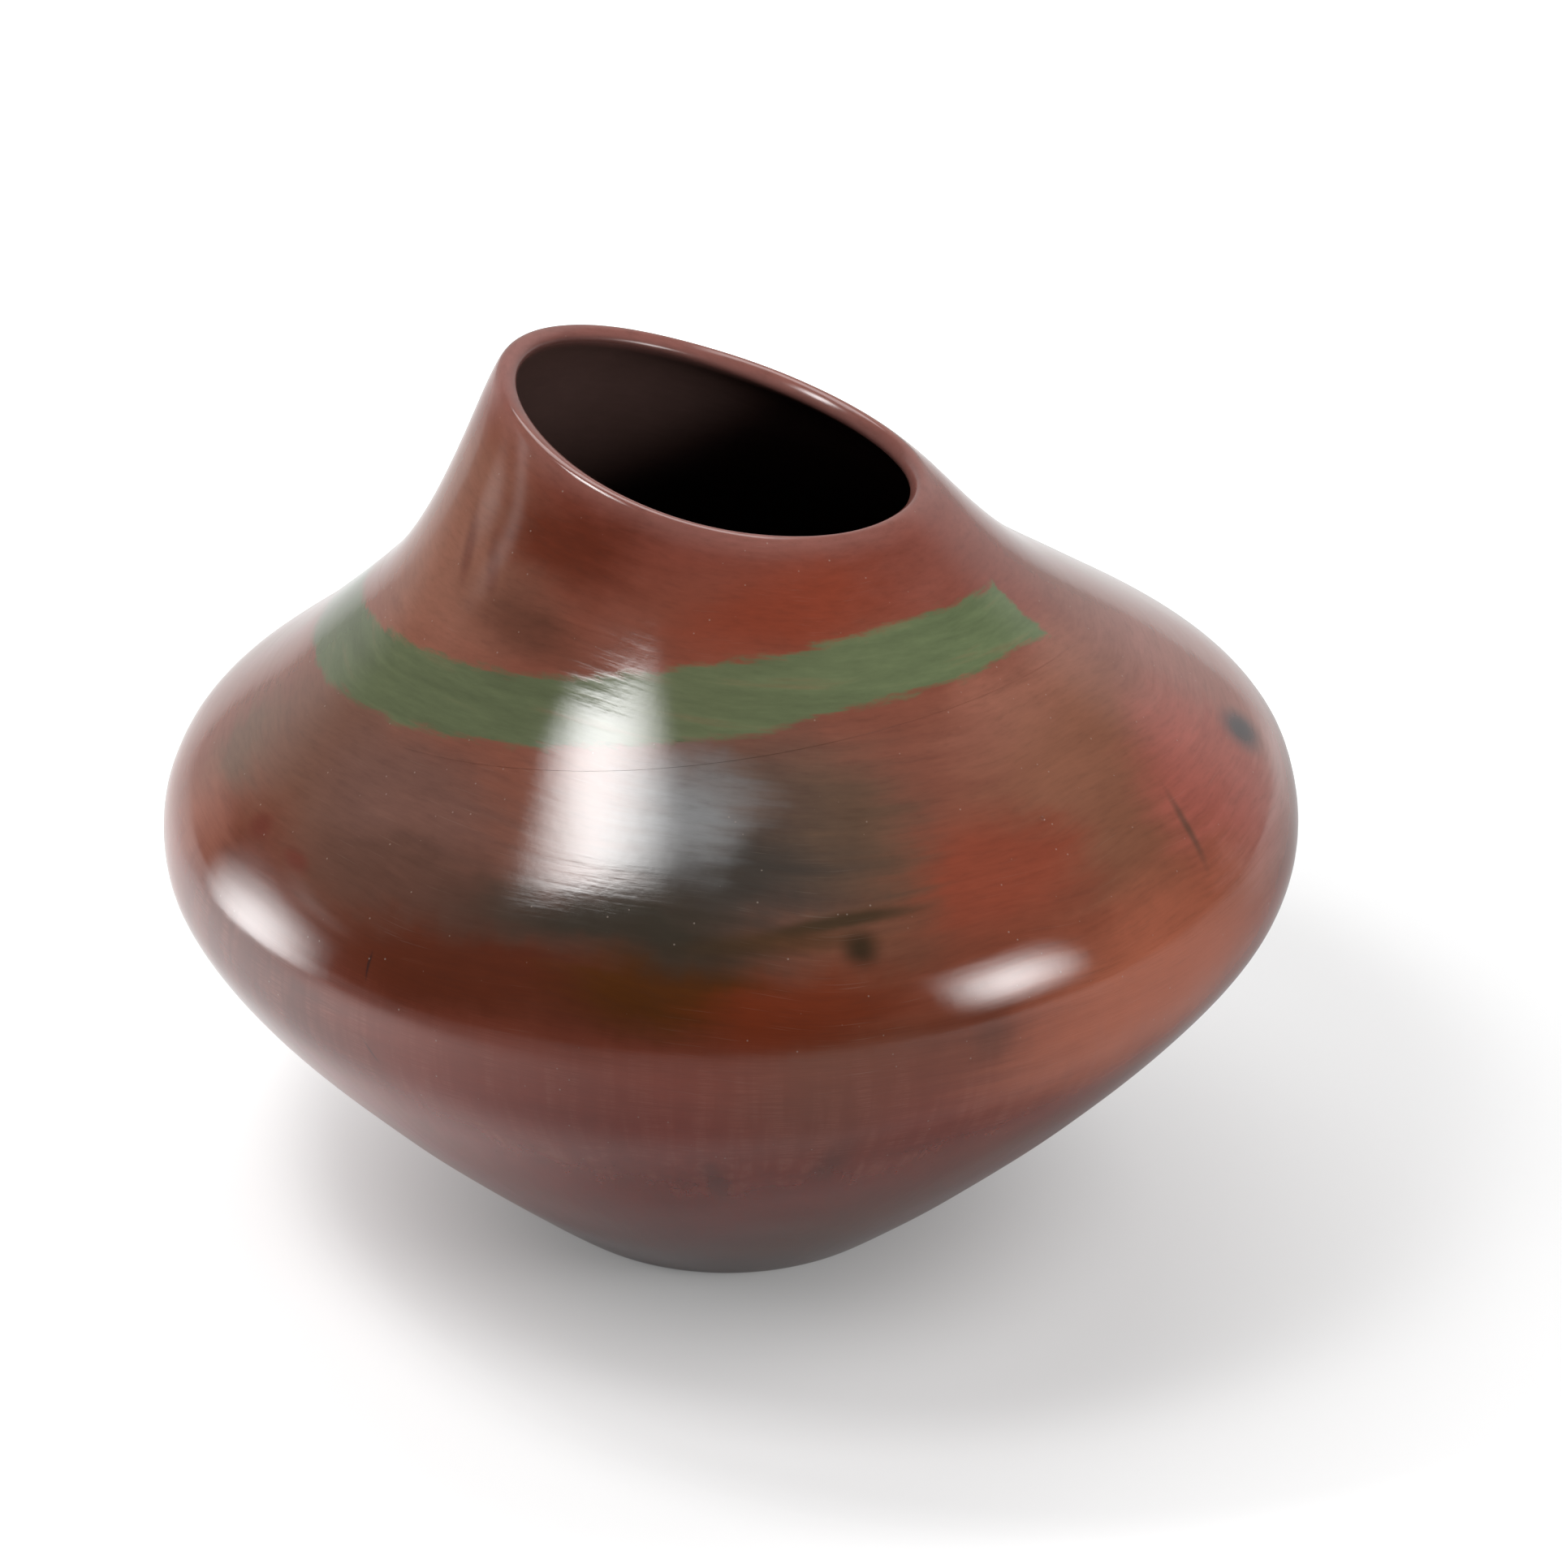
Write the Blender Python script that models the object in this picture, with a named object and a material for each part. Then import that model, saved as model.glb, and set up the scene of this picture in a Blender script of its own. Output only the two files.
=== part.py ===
# A squat burnished clay jar, built as the potter builds it: a base pat, rings of coil joined at
# bevelled laps, a rim coil with a rounded lip, and a stripe of coloured slip on the shoulder.
# Origin at the centre of the flat underside, +Z up; the mouth is high on the -X side, low on +X.
import math

import bmesh
import bpy
import numpy as np

# Sizes of the wall's outer face, in metres
FOOT_RADIUS = 0.0410          # flat underside
BELLY_RADIUS = 0.1247         # widest part
BELLY_HEIGHT = 0.0934
BELLY_SHIFT = 0.0010          # the belly's centre stands this far towards +X
NECK_RADIUS = 0.0777          # where the shoulder turns up into the neck
NECK_HEIGHT = 0.1474
NECK_RISE = 0.0034            # how much higher that ring is on its high side
NECK_HIGH_SIDE = 237.0        # degrees round from +X
NECK_FORWARD = 0.0051         # the ring's centre stands this far towards -Y
MOUTH_RADIUS = 0.0447         # to the middle of the lip
MOUTH_SHIFT = -0.0023         # the mouth's centre stands this far along X
RIM_HEIGHT = 0.1844           # mean height of the middle of the lip
RIM_RISE = 0.0130             # how much higher the lip is on the -X side
RIM_SADDLE = 0.0019           # the lip's two gentle rises
RIM_SADDLE_TURN = -18.0       # degrees round from +X

# Bends of the outer face: slopes in degrees and curve handles in metres
FOOT_SLOPE = 34.1             # above level, where the wall leaves the foot
FOOT_HANDLE = 0.0100
BELLY_HANDLE_BELOW = 0.0217
BELLY_HANDLE_ABOVE = 0.0200
NECK_SLOPE = 40.6             # below level, where the shoulder meets the neck
NECK_SLOPE_CHANGE = -5.5      # added on the low side, taken off on the high side
NECK_HANDLE_OUT = 0.0511
NECK_HANDLE_IN = 0.0229
LIP_LEAN = 40.4               # inwards from upright, at the lip
LIP_LEAN_CHANGE = 10.0        # added on the low side, taken off on the high side
LIP_HANDLE = 0.0114

# Clay and joints
WALL_AT_FOOT = 0.0070
LIP_THICKNESS = 0.0048        # the wall thins evenly from the foot to this
BASE_THICKNESS = 0.0080
BASE_EDGE = 0.0200            # length of wall turned up from the base pat
RIM_DEPTH = 0.0140            # length of wall that belongs to the rim coil
JOINT_LAP = 0.0050            # how far each coil laps down inside the one below
JOINT_GAP = 0.0003

# Courses of coil between the base pat and the rim coil
LOWER_COIL_COUNT = 5
BELLY_COIL_COUNT = 2
SHOULDER_COIL_COUNT = 3
NECK_COIL_COUNT = 2

# Green slip stripe, laid along the wall
SLIP_THICKNESS = 0.0004
SLIP_GAP = 0.0003
SLIP_WIDTH = 0.0158
SLIP_BELOW_LIP = 0.0506       # mean distance down the wall from the lip to its middle
SLIP_SWAY = 0.0221            # nearer the lip on one side, further on the other
SLIP_HIGH_SIDE = 320.0        # degrees, where it is nearest the lip
SLIP_START = 150.0            # degrees
SLIP_END = 344.0

# Facets
SIDE_COUNT = 48               # round the jar
CURVE_STEP_COUNT = 40         # along each bend of the outer face
OUTER_ROW_COUNT = 3           # on a coil's outer face
INNER_ROW_COUNT = 2
RIM_INNER_ROW_COUNT = 3
LIP_ROW_COUNT = 6
SLIP_SIDE_COUNT = 70
SLIP_ROW_COUNT = 4
SHARP_EDGE = 40.0             # degrees, above which an edge isn't shaded smooth

# Colour and roughness
FINISHES = {
    "base_pat": ((0.155, 0.070, 0.058), 0.34),
    "lower_coil": ((0.165, 0.070, 0.056), 0.28),
    "belly_coil": ((0.150, 0.052, 0.036), 0.24),
    "shoulder_coil": ((0.190, 0.062, 0.038), 0.24),
    "neck_coil": ((0.215, 0.078, 0.050), 0.26),
    "rim_coil": ((0.230, 0.105, 0.085), 0.30),
    "green_slip_band": ((0.095, 0.165, 0.065), 0.32),
}

UP = np.array((0.0, 0.0, 1.0))
ALONG_X = np.array((1.0, 0.0, 0.0))
ALONG_Y = np.array((0.0, 1.0, 0.0))


def clear_scene():
    for old in list(bpy.data.objects):
        bpy.data.objects.remove(old, do_unlink=True)


def bezier(start, start_handle, end_handle, end):
    t = np.linspace(0.0, 1.0, CURVE_STEP_COUNT + 1)[:, None, None]
    return (
        (1 - t) ** 3 * start
        + 3 * (1 - t) ** 2 * t * start_handle
        + 3 * (1 - t) * t ** 2 * end_handle
        + t ** 3 * end
    )


class Wall:
    """The outer face of the jar along a set of angles, walked by distance up from the foot."""

    def __init__(self, angles):
        self.out = np.stack([np.cos(angles), np.sin(angles), 0 * angles], axis=1)
        low_side = np.cos(angles)[:, None]      # 1 on the low side of the mouth, -1 on the high side
        saddle = np.cos(2 * (angles - math.radians(RIM_SADDLE_TURN)))[:, None]
        lean = np.radians(LIP_LEAN + LIP_LEAN_CHANGE * low_side)
        slope = np.radians(NECK_SLOPE + NECK_SLOPE_CHANGE * low_side)
        foot_slope = math.radians(FOOT_SLOPE)

        # rings that the wall passes through, and the way it runs at each
        foot = FOOT_RADIUS * self.out
        foot_run = math.cos(foot_slope) * self.out + math.sin(foot_slope) * UP
        belly = BELLY_RADIUS * self.out + BELLY_SHIFT * ALONG_X + BELLY_HEIGHT * UP
        neck_rise = NECK_RISE * np.cos(angles - math.radians(NECK_HIGH_SIDE))[:, None]
        neck = NECK_RADIUS * self.out - NECK_FORWARD * ALONG_Y + (NECK_HEIGHT + neck_rise) * UP
        neck_run = np.sin(slope) * UP - np.cos(slope) * self.out
        self.lip = MOUTH_RADIUS * self.out + MOUTH_SHIFT * ALONG_X
        self.lip = self.lip + (RIM_HEIGHT - RIM_RISE * low_side + RIM_SADDLE * saddle) * UP
        self.lip_run = np.cos(lean) * UP - np.sin(lean) * self.out
        self.lip_face = np.cos(lean) * self.out + np.sin(lean) * UP
        top = self.lip + LIP_THICKNESS / 2 * self.lip_face

        below = bezier(foot, foot + FOOT_HANDLE * foot_run, belly - BELLY_HANDLE_BELOW * UP, belly)
        shoulder = bezier(belly, belly + BELLY_HANDLE_ABOVE * UP, neck - NECK_HANDLE_OUT * neck_run, neck)
        throat = bezier(neck, neck + NECK_HANDLE_IN * neck_run, top - LIP_HANDLE * self.lip_run, top)
        self.points = np.concatenate([below, shoulder[1:], throat[1:]])
        steps = np.linalg.norm(np.diff(self.points, axis=0), axis=2)
        self.distance = np.concatenate([0 * steps[:1], np.cumsum(steps, axis=0)])
        self.length = self.distance[-1]

        # outward normals in each upright section
        run = np.gradient(self.points, axis=0)
        rise = run @ UP
        spread = (run * self.out).sum(axis=2)
        face = rise[:, :, None] * self.out - spread[:, :, None] * UP
        self.normals = face / np.linalg.norm(face, axis=2, keepdims=True)

    def thickness(self, distance):
        return WALL_AT_FOOT + (LIP_THICKNESS - WALL_AT_FOOT) * distance / self.length

    def at(self, distance, depth):
        """One ring of points, at a distance up the wall and a depth into the clay."""
        ring = []
        for side in range(len(self.length)):
            path = self.distance[:, side]
            point = [np.interp(distance[side], path, self.points[:, side, axis]) for axis in range(3)]
            normal = [np.interp(distance[side], path, self.normals[:, side, axis]) for axis in range(3)]
            normal = np.array(normal) / np.linalg.norm(normal)
            ring.append(np.array(point) - depth[side] * normal)
        return np.array(ring)

    def outer_rows(self, low, high, rows):
        return [self.at(low + (high - low) * row / rows, 0 * low) for row in range(rows + 1)]

    def inner_rows(self, high, low, rows):
        distances = [high + (low - high) * row / rows for row in range(rows + 1)]
        return [self.at(distance, self.thickness(distance)) for distance in distances]

    def half_gap(self, edge):
        """Half of the gap at a bevelled joint, measured along the wall."""
        return JOINT_GAP / 2 * np.hypot(1.0, JOINT_LAP / self.thickness(edge))


def make_material(name, finish):
    colour, roughness = finish
    material = bpy.data.materials.new(name)
    material.use_nodes = True
    shader = material.node_tree.nodes["Principled BSDF"]
    shader.inputs["Base Color"].default_value = (*colour, 1.0)
    shader.inputs["Roughness"].default_value = roughness
    shader.inputs["Metallic"].default_value = 0.0
    return material


def add_object(name, bm, finish, parent):
    bmesh.ops.recalc_face_normals(bm, faces=bm.faces)
    mesh = bpy.data.meshes.new(name)
    bm.to_mesh(mesh)
    bm.free()
    mesh.shade_smooth()
    mesh.set_sharp_from_angle(angle=math.radians(SHARP_EDGE))
    mesh.materials.append(make_material(name + "_finish", finish))
    piece = bpy.data.objects.new(name, mesh)
    piece.parent = parent
    bpy.context.collection.objects.link(piece)
    return piece


def add_loop(bm, points):
    verts = [bm.verts.new(point) for point in points]
    return [bm.edges.new((verts[side - 1], verts[side])) for side in range(len(verts))]


def loft(loops, ring):
    """Bridges each loop to the next. A ring closes on its first loop, else both ends get a face."""
    bm = bmesh.new()
    edges = [add_loop(bm, points) for points in loops]
    for low, high in zip(edges, edges[1:]):
        bmesh.ops.bridge_loops(bm, edges=low + high)
    if ring:
        bmesh.ops.bridge_loops(bm, edges=edges[-1] + edges[0])
    else:
        bmesh.ops.contextual_create(bm, geom=edges[0])
        bmesh.ops.contextual_create(bm, geom=edges[-1])
    return bm


def base_pat(wall, edge):
    """The flat disc with its edge turned up, hollowed down to the floor of the jar."""
    top = edge - wall.half_gap(edge)
    tries = np.linspace(0.0, 1.0, CURVE_STEP_COUNT + 1)
    levels = np.array([wall.at(top * share, wall.thickness(top * share))[:, 2] for share in tries])
    shares = [np.interp(BASE_THICKNESS, levels[:, side], tries) for side in range(SIDE_COUNT)]
    rows = wall.outer_rows(0 * top, top, OUTER_ROW_COUNT)
    rows += wall.inner_rows(top - JOINT_LAP, top * np.array(shares), INNER_ROW_COUNT)
    rows[-1][:, 2] = BASE_THICKNESS
    return loft(rows, ring=False)


def coil(wall, low_edge, high_edge):
    """One course: its top is bevelled inwards, and its foot laps down inside the course below."""
    low = low_edge + wall.half_gap(low_edge)
    high = high_edge - wall.half_gap(high_edge)
    rows = wall.outer_rows(low, high, OUTER_ROW_COUNT)
    rows += wall.inner_rows(high - JOINT_LAP, low - JOINT_LAP, INNER_ROW_COUNT)
    return loft(rows, ring=True)


def rim_coil(wall, low_edge):
    """The last course, rounded over the lip from the outer face to the inner one."""
    low = low_edge + wall.half_gap(low_edge)
    rows = wall.outer_rows(low, wall.length, OUTER_ROW_COUNT)
    for row in range(1, LIP_ROW_COUNT):
        turn = math.pi * row / LIP_ROW_COUNT
        way = math.cos(turn) * wall.lip_face + math.sin(turn) * wall.lip_run
        rows.append(wall.lip + LIP_THICKNESS / 2 * way)
    rows += wall.inner_rows(wall.length, low - JOINT_LAP, RIM_INNER_ROW_COUNT)
    return loft(rows, ring=True)


def slip_band():
    """The brushed stripe: a thin layer that follows the outer face and stands clear of it."""
    angles = np.radians(np.linspace(SLIP_START, SLIP_END, SLIP_SIDE_COUNT + 1))
    wall = Wall(angles)
    middle = wall.length - SLIP_BELOW_LIP + SLIP_SWAY * np.cos(angles - math.radians(SLIP_HIGH_SIDE))
    across = np.linspace(-SLIP_WIDTH / 2, SLIP_WIDTH / 2, SLIP_ROW_COUNT + 1)
    clear = np.full_like(middle, -SLIP_GAP)
    face = clear - SLIP_THICKNESS
    rows = [wall.at(middle + shift, face) for shift in across]
    rows += [wall.at(middle + shift, clear) for shift in across[::-1]]
    sections = np.stack(rows, axis=1)       # one closed section of the layer at each angle
    return loft(sections, ring=False)


def build_jar():
    clear_scene()
    jar = bpy.data.objects.new("jar", None)
    bpy.context.collection.objects.link(jar)

    wall = Wall(np.radians(np.arange(SIDE_COUNT) * 360.0 / SIDE_COUNT))
    courses = [("lower_coil", index + 1) for index in range(LOWER_COIL_COUNT)]
    courses += [("belly_coil", index + 1) for index in range(BELLY_COIL_COUNT)]
    courses += [("shoulder_coil", index + 1) for index in range(SHOULDER_COIL_COUNT)]
    courses += [("neck_coil", index + 1) for index in range(NECK_COIL_COUNT)]
    first = np.full_like(wall.length, BASE_EDGE)
    last = wall.length - RIM_DEPTH
    edges = [first + (last - first) * step / len(courses) for step in range(len(courses) + 1)]

    add_object("base_pat", base_pat(wall, edges[0]), FINISHES["base_pat"], jar)
    for (name, index), low_edge, high_edge in zip(courses, edges, edges[1:]):
        add_object(f"{name}_{index}", coil(wall, low_edge, high_edge), FINISHES[name], jar)
    add_object("rim_coil", rim_coil(wall, edges[-1]), FINISHES["rim_coil"], jar)
    add_object("green_slip_band", slip_band(), FINISHES["green_slip_band"], jar)


build_jar()
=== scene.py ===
# A stone-burnished clay jar with fire clouds and a green slip stripe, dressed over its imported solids
import math

import bmesh
import bpy
import numpy as np
from mathutils import Matrix, Vector


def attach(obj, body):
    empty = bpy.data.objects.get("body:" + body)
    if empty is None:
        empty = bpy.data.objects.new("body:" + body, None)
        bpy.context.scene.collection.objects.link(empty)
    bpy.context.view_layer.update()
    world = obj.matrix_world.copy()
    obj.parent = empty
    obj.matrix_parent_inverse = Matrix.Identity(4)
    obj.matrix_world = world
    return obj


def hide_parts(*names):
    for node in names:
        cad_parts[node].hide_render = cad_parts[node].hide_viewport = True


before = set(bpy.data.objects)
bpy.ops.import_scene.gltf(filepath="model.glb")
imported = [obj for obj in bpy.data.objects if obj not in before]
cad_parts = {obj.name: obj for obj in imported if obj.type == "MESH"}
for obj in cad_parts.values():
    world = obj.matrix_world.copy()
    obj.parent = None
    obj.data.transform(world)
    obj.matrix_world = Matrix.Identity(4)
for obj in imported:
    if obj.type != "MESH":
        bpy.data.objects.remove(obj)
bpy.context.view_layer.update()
print("frame loaded,", len(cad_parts), "nodes")

# Metres and degrees. Angles run round from +X, the low side of the mouth; -Y faces the camera.
wallSizes = {
    "footRadius": 0.0410,
    "bellyRadius": 0.1247,
    "bellyHeight": 0.0934,
    "bellyShift": 0.0010,          # of the belly's centre, towards +X
    "neckRadius": 0.0777,
    "neckHeight": 0.1474,
    "neckRise": 0.0034,
    "neckHighTurn": 237.0,
    "neckForward": 0.0051,         # of that ring's centre, towards -Y
    "mouthRadius": 0.0447,         # to the middle of the lip
    "mouthShift": -0.0023,
    "rimHeight": 0.1844,
    "rimRise": 0.0130,             # higher on the -X side
    "rimSaddle": 0.0019,
    "rimSaddleTurn": -18.0,
    "footSlope": 34.1,
    "footHandle": 0.0100,
    "bellyHandleBelow": 0.0217,
    "bellyHandleAbove": 0.0200,
    "neckSlope": 40.6,
    "neckSlopeChange": -5.5,
    "neckHandleOut": 0.0511,
    "neckHandleIn": 0.0229,
    "lipLean": 40.4,
    "lipLeanChange": 10.0,
    "lipHandle": 0.0114,
    "lipThickness": 0.0048,
    "wallAtFoot": 0.0070,
    "floorHeight": 0.0080,
    "hollowTurn": 210.0,           # a shallow thumb hollow in the left of the neck
    "hollowShare": 0.885,
    "hollowSize": 0.0120,
    "hollowDepth": 0.0005,
    "curveSteps": 80,
    "probeTurn": 0.5,              # to each side, to find which way the wall faces
}


def bezier(start, startHandle, endHandle, end):
    t = np.linspace(0.0, 1.0, wallSizes["curveSteps"] + 1)[:, None, None]
    curve = (1 - t) ** 3 * start + 3 * (1 - t) ** 2 * t * startHandle
    return curve + 3 * (1 - t) * t ** 2 * endHandle + t ** 3 * end


def wallFace(turns):
    # outer face of the wall at these angles, foot to lip, and the middle of the lip with its two directions
    s = wallSizes
    up = np.array((0.0, 0.0, 1.0))
    lengthways = np.array((1.0, 0.0, 0.0))
    sideways = np.array((0.0, 1.0, 0.0))
    out = np.stack([np.cos(turns), np.sin(turns), 0 * turns], axis=1)
    lowSide = np.cos(turns)[:, None]
    saddle = np.cos(2 * (turns - math.radians(s["rimSaddleTurn"])))[:, None]
    footSlope = math.radians(s["footSlope"])
    neckSlope = np.radians(s["neckSlope"] + s["neckSlopeChange"] * lowSide)
    lipLean = np.radians(s["lipLean"] + s["lipLeanChange"] * lowSide)

    foot = s["footRadius"] * out
    footRun = math.cos(footSlope) * out + math.sin(footSlope) * up
    belly = s["bellyRadius"] * out + s["bellyShift"] * lengthways + s["bellyHeight"] * up
    neckLevel = s["neckHeight"] + s["neckRise"] * np.cos(turns - math.radians(s["neckHighTurn"]))[:, None]
    neck = s["neckRadius"] * out - s["neckForward"] * sideways + neckLevel * up
    neckRun = np.sin(neckSlope) * up - np.cos(neckSlope) * out
    rimLevel = s["rimHeight"] - s["rimRise"] * lowSide + s["rimSaddle"] * saddle
    lip = s["mouthRadius"] * out + s["mouthShift"] * lengthways + rimLevel * up
    lipRun = np.cos(lipLean) * up - np.sin(lipLean) * out
    lipFace = np.cos(lipLean) * out + np.sin(lipLean) * up
    top = lip + s["lipThickness"] / 2 * lipFace

    lower = bezier(foot, foot + s["footHandle"] * footRun, belly - s["bellyHandleBelow"] * up, belly)
    shoulder = bezier(belly, belly + s["bellyHandleAbove"] * up, neck - s["neckHandleOut"] * neckRun, neck)
    collar = bezier(neck, neck + s["neckHandleIn"] * neckRun, top - s["lipHandle"] * lipRun, top)
    return np.concatenate([lower, shoulder[1:], collar[1:]]), lip, lipRun, lipFace


def traceWall(turns):
    # the wall at these angles, with the way it faces and the distance walked up it from the foot
    s = wallSizes
    points, lip, lipRun, lipFace = wallFace(turns)
    probe = math.radians(s["probeTurn"])
    around = wallFace(turns + probe)[0] - wallFace(turns - probe)[0]
    normals = np.cross(around, np.gradient(points, axis=0))
    normals /= np.linalg.norm(normals, axis=2)[:, :, None]
    walked = np.zeros(points.shape[:2])
    walked[1:] = np.cumsum(np.linalg.norm(np.diff(points, axis=0), axis=2), axis=0)

    # press in the thumb hollow
    across = (turns - math.radians(s["hollowTurn"]) + math.pi) % (2 * math.pi) - math.pi
    across = across * np.hypot(points[:, :, 0], points[:, :, 1])
    climbed = walked - s["hollowShare"] * walked[-1]
    dip = s["hollowDepth"] * np.exp(-(across ** 2 + climbed ** 2) / (2 * s["hollowSize"] ** 2))
    points = points - dip[:, :, None] * normals
    return {"points": points, "normals": normals, "walked": walked, "length": walked[-1],
            "lip": lip, "lipRun": lipRun, "lipFace": lipFace}


def wallRing(wall, distance, depth):
    # a ring this far up the wall from the foot, sunk this deep under its outer face
    ring = np.zeros((len(distance), 3))
    for side in range(len(distance)):
        path = wall["walked"][:, side]
        point = [np.interp(distance[side], path, wall["points"][:, side, axis]) for axis in range(3)]
        normal = [np.interp(distance[side], path, wall["normals"][:, side, axis]) for axis in range(3)]
        ring[side] = np.array(point) - depth[side] * np.array(normal) / np.linalg.norm(normal)
    return ring


def wallThickness(wall, distance):
    share = distance / wall["length"]
    return wallSizes["wallAtFoot"] + (wallSizes["lipThickness"] - wallSizes["wallAtFoot"]) * share


def selectNothing():
    if bpy.context.object and bpy.context.object.mode != "OBJECT":
        bpy.ops.object.mode_set(mode="OBJECT")
    bpy.ops.object.select_all(action="DESELECT")


def applyModifier(piece, kind, name, **settings):
    modifier = piece.modifiers.new(name, kind)
    for setting, value in settings.items():
        setattr(modifier, setting, value)
    bpy.context.view_layer.objects.active = piece
    bpy.ops.object.modifier_apply(modifier=name)


# The jar: one skin from the underside up the wall, over the lip and down inside to the floor
jarShape = {
    "sides": 64,
    "undersideRings": (0.012, 0.026, 0.036),
    "footSteps": (0.0030, 0.0040, 0.0055, 0.0075),
    "lipSteps": (0.0014, 0.0020, 0.0028, 0.0039, 0.0054, 0.0075),
    "evenRows": 22,
    "lipRows": 8,
    "lipSquare": 0.75,             # below 1 flattens the lip's top and tightens its corners
    "lipShare": 0.03,              # the lip's own length beside the wall's
    "floorShares": (0.93, 0.75, 0.45, 0.20),
    "floorClear": 0.004,           # the inner wall stops this far above the floor
    "undersideWalk": -0.1,         # the clay's place there, with the foot at 0 and the lip at 1
    "floorWalk": 0.1,              # and how far it goes on across the floor
    "smoothing": 2,
    "waverHeight": 0.0007,         # unevenness left by the hand and the stone
    "waverSize": 0.045,
    "waverFrom": 0.1,              # share of the wall over which it comes in; the foot stays flat
}


def jarRows(turns):
    s = jarShape
    wall = traceWall(turns)
    length = wall["length"]
    footSteps = np.cumsum((0.0,) + s["footSteps"])
    lipSteps = np.cumsum((0.0,) + s["lipSteps"])
    between = np.linspace(0, 1, s["evenRows"] + 2)[1:-1]
    climbs = [0 * length + step for step in footSteps]
    climbs += [footSteps[-1] + (length - footSteps[-1] - lipSteps[-1]) * share for share in between]
    climbs += [length - step for step in lipSteps[::-1]]

    rows, walks = [], []
    for radius in s["undersideRings"]:
        rows.append(np.stack([radius * np.cos(turns), radius * np.sin(turns), 0 * turns], axis=1))
        walks.append(0 * turns + s["undersideWalk"])
    for climb in climbs:
        rows.append(wallRing(wall, climb, 0 * climb))
        walks.append(climb / length)
    for row in range(1, s["lipRows"]):
        bend = math.pi * row / s["lipRows"]
        radius = wallSizes["lipThickness"] / 2
        across = math.copysign(abs(math.cos(bend)) ** s["lipSquare"], math.cos(bend))
        above = math.sin(bend) ** s["lipSquare"]
        rows.append(wall["lip"] + radius * (across * wall["lipFace"] + above * wall["lipRun"]))
        walks.append(0 * turns + 1 + s["lipShare"] * row / s["lipRows"])
    for climb in climbs[::-1]:
        ring = wallRing(wall, climb, wallThickness(wall, climb))
        if ring[:, 2].min() < wallSizes["floorHeight"] + s["floorClear"]:
            break
        rows.append(ring)
        walks.append(2 + s["lipShare"] - climb / length)
    edge, edgeWalk = rows[-1].copy(), walks[-1]
    drop = edge[:, 2].min() - wallSizes["floorHeight"]
    edge *= 1 - drop / math.tan(math.radians(wallSizes["footSlope"])) / wallSizes["footRadius"]
    for share in s["floorShares"]:
        ring = edge * share
        ring[:, 2] = wallSizes["floorHeight"]
        rows.append(ring)
        walks.append(edgeWalk + s["floorWalk"] * (1 - share))
    return np.array(rows), np.array(walks)


def swellCage(rows, firstRow, lastRow):
    # the cage stands out by a sixth of its bend, so that the smoothed skin runs through the rings
    bend = np.roll(rows, 1, axis=1) + np.roll(rows, -1, axis=1) - 2 * rows
    swollen = rows - bend / 6
    bend = np.zeros_like(rows)
    bend[firstRow:lastRow] = swollen[firstRow - 1:lastRow - 1] + swollen[firstRow + 1:lastRow + 1]
    bend[firstRow:lastRow] -= 2 * swollen[firstRow:lastRow]
    return swollen - bend / 6


def buildJar():
    s = jarShape
    turns = np.arange(s["sides"]) * 2 * math.pi / s["sides"]
    rows, walks = jarRows(turns)
    underside, floorRings = len(s["undersideRings"]), len(s["floorShares"])
    cage = swellCage(rows, underside + 1, len(rows) - floorRings)

    selectNothing()
    bpy.ops.mesh.primitive_circle_add(vertices=s["sides"], radius=s["undersideRings"][0], fill_type="NGON")
    jar = bpy.context.object
    jar.name = "jar"
    bpy.ops.object.mode_set(mode="EDIT")
    bpy.ops.mesh.select_mode(type="EDGE")
    mesh = bmesh.from_edit_mesh(jar.data)
    sideLayer = mesh.verts.layers.int.new("side")
    mesh.verts.layers.float.new("wallWalk")
    for vert in mesh.verts:
        turn = math.atan2(vert.co.y, vert.co.x) % (2 * math.pi)
        vert[sideLayer] = round(turn / (2 * math.pi) * s["sides"]) % s["sides"]
    for row in range(len(cage)):
        if row > 0:
            bpy.ops.mesh.extrude_edges_move()
        else:
            bpy.ops.mesh.select_all(action="SELECT")
        mesh = bmesh.from_edit_mesh(jar.data)
        sideLayer = mesh.verts.layers.int["side"]
        walkLayer = mesh.verts.layers.float["wallWalk"]
        for vert in mesh.verts:
            if vert.select:
                vert.co = cage[row, vert[sideLayer]]
                vert[walkLayer] = walks[row, vert[sideLayer]]
        bmesh.update_edit_mesh(jar.data)
    bpy.ops.mesh.edge_face_add()
    bpy.ops.mesh.select_all(action="SELECT")
    bpy.ops.mesh.normals_make_consistent(inside=False)
    bpy.ops.object.mode_set(mode="OBJECT")
    bpy.ops.object.shade_smooth()

    steady = jar.vertex_groups.new(name="steady")
    for vert in jar.data.vertices:
        walk = jar.data.attributes["wallWalk"].data[vert.index].value
        steady.add([vert.index], min(max(walk / s["waverFrom"], 0.0), 1.0), "REPLACE")
    applyModifier(jar, "SUBSURF", "smoothSkin", levels=s["smoothing"], render_levels=s["smoothing"])
    waverSkin(jar, "steady")
    return jar


def waverSkin(piece, group):
    waver = bpy.data.textures.get("handWaver") or bpy.data.textures.new("handWaver", "CLOUDS")
    waver.noise_scale = jarShape["waverSize"]
    waver.noise_depth = 1
    applyModifier(piece, "DISPLACE", "handWaver", texture=waver, texture_coords="LOCAL", mid_level=0.5,
                  strength=jarShape["waverHeight"], vertex_group=group)


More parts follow.
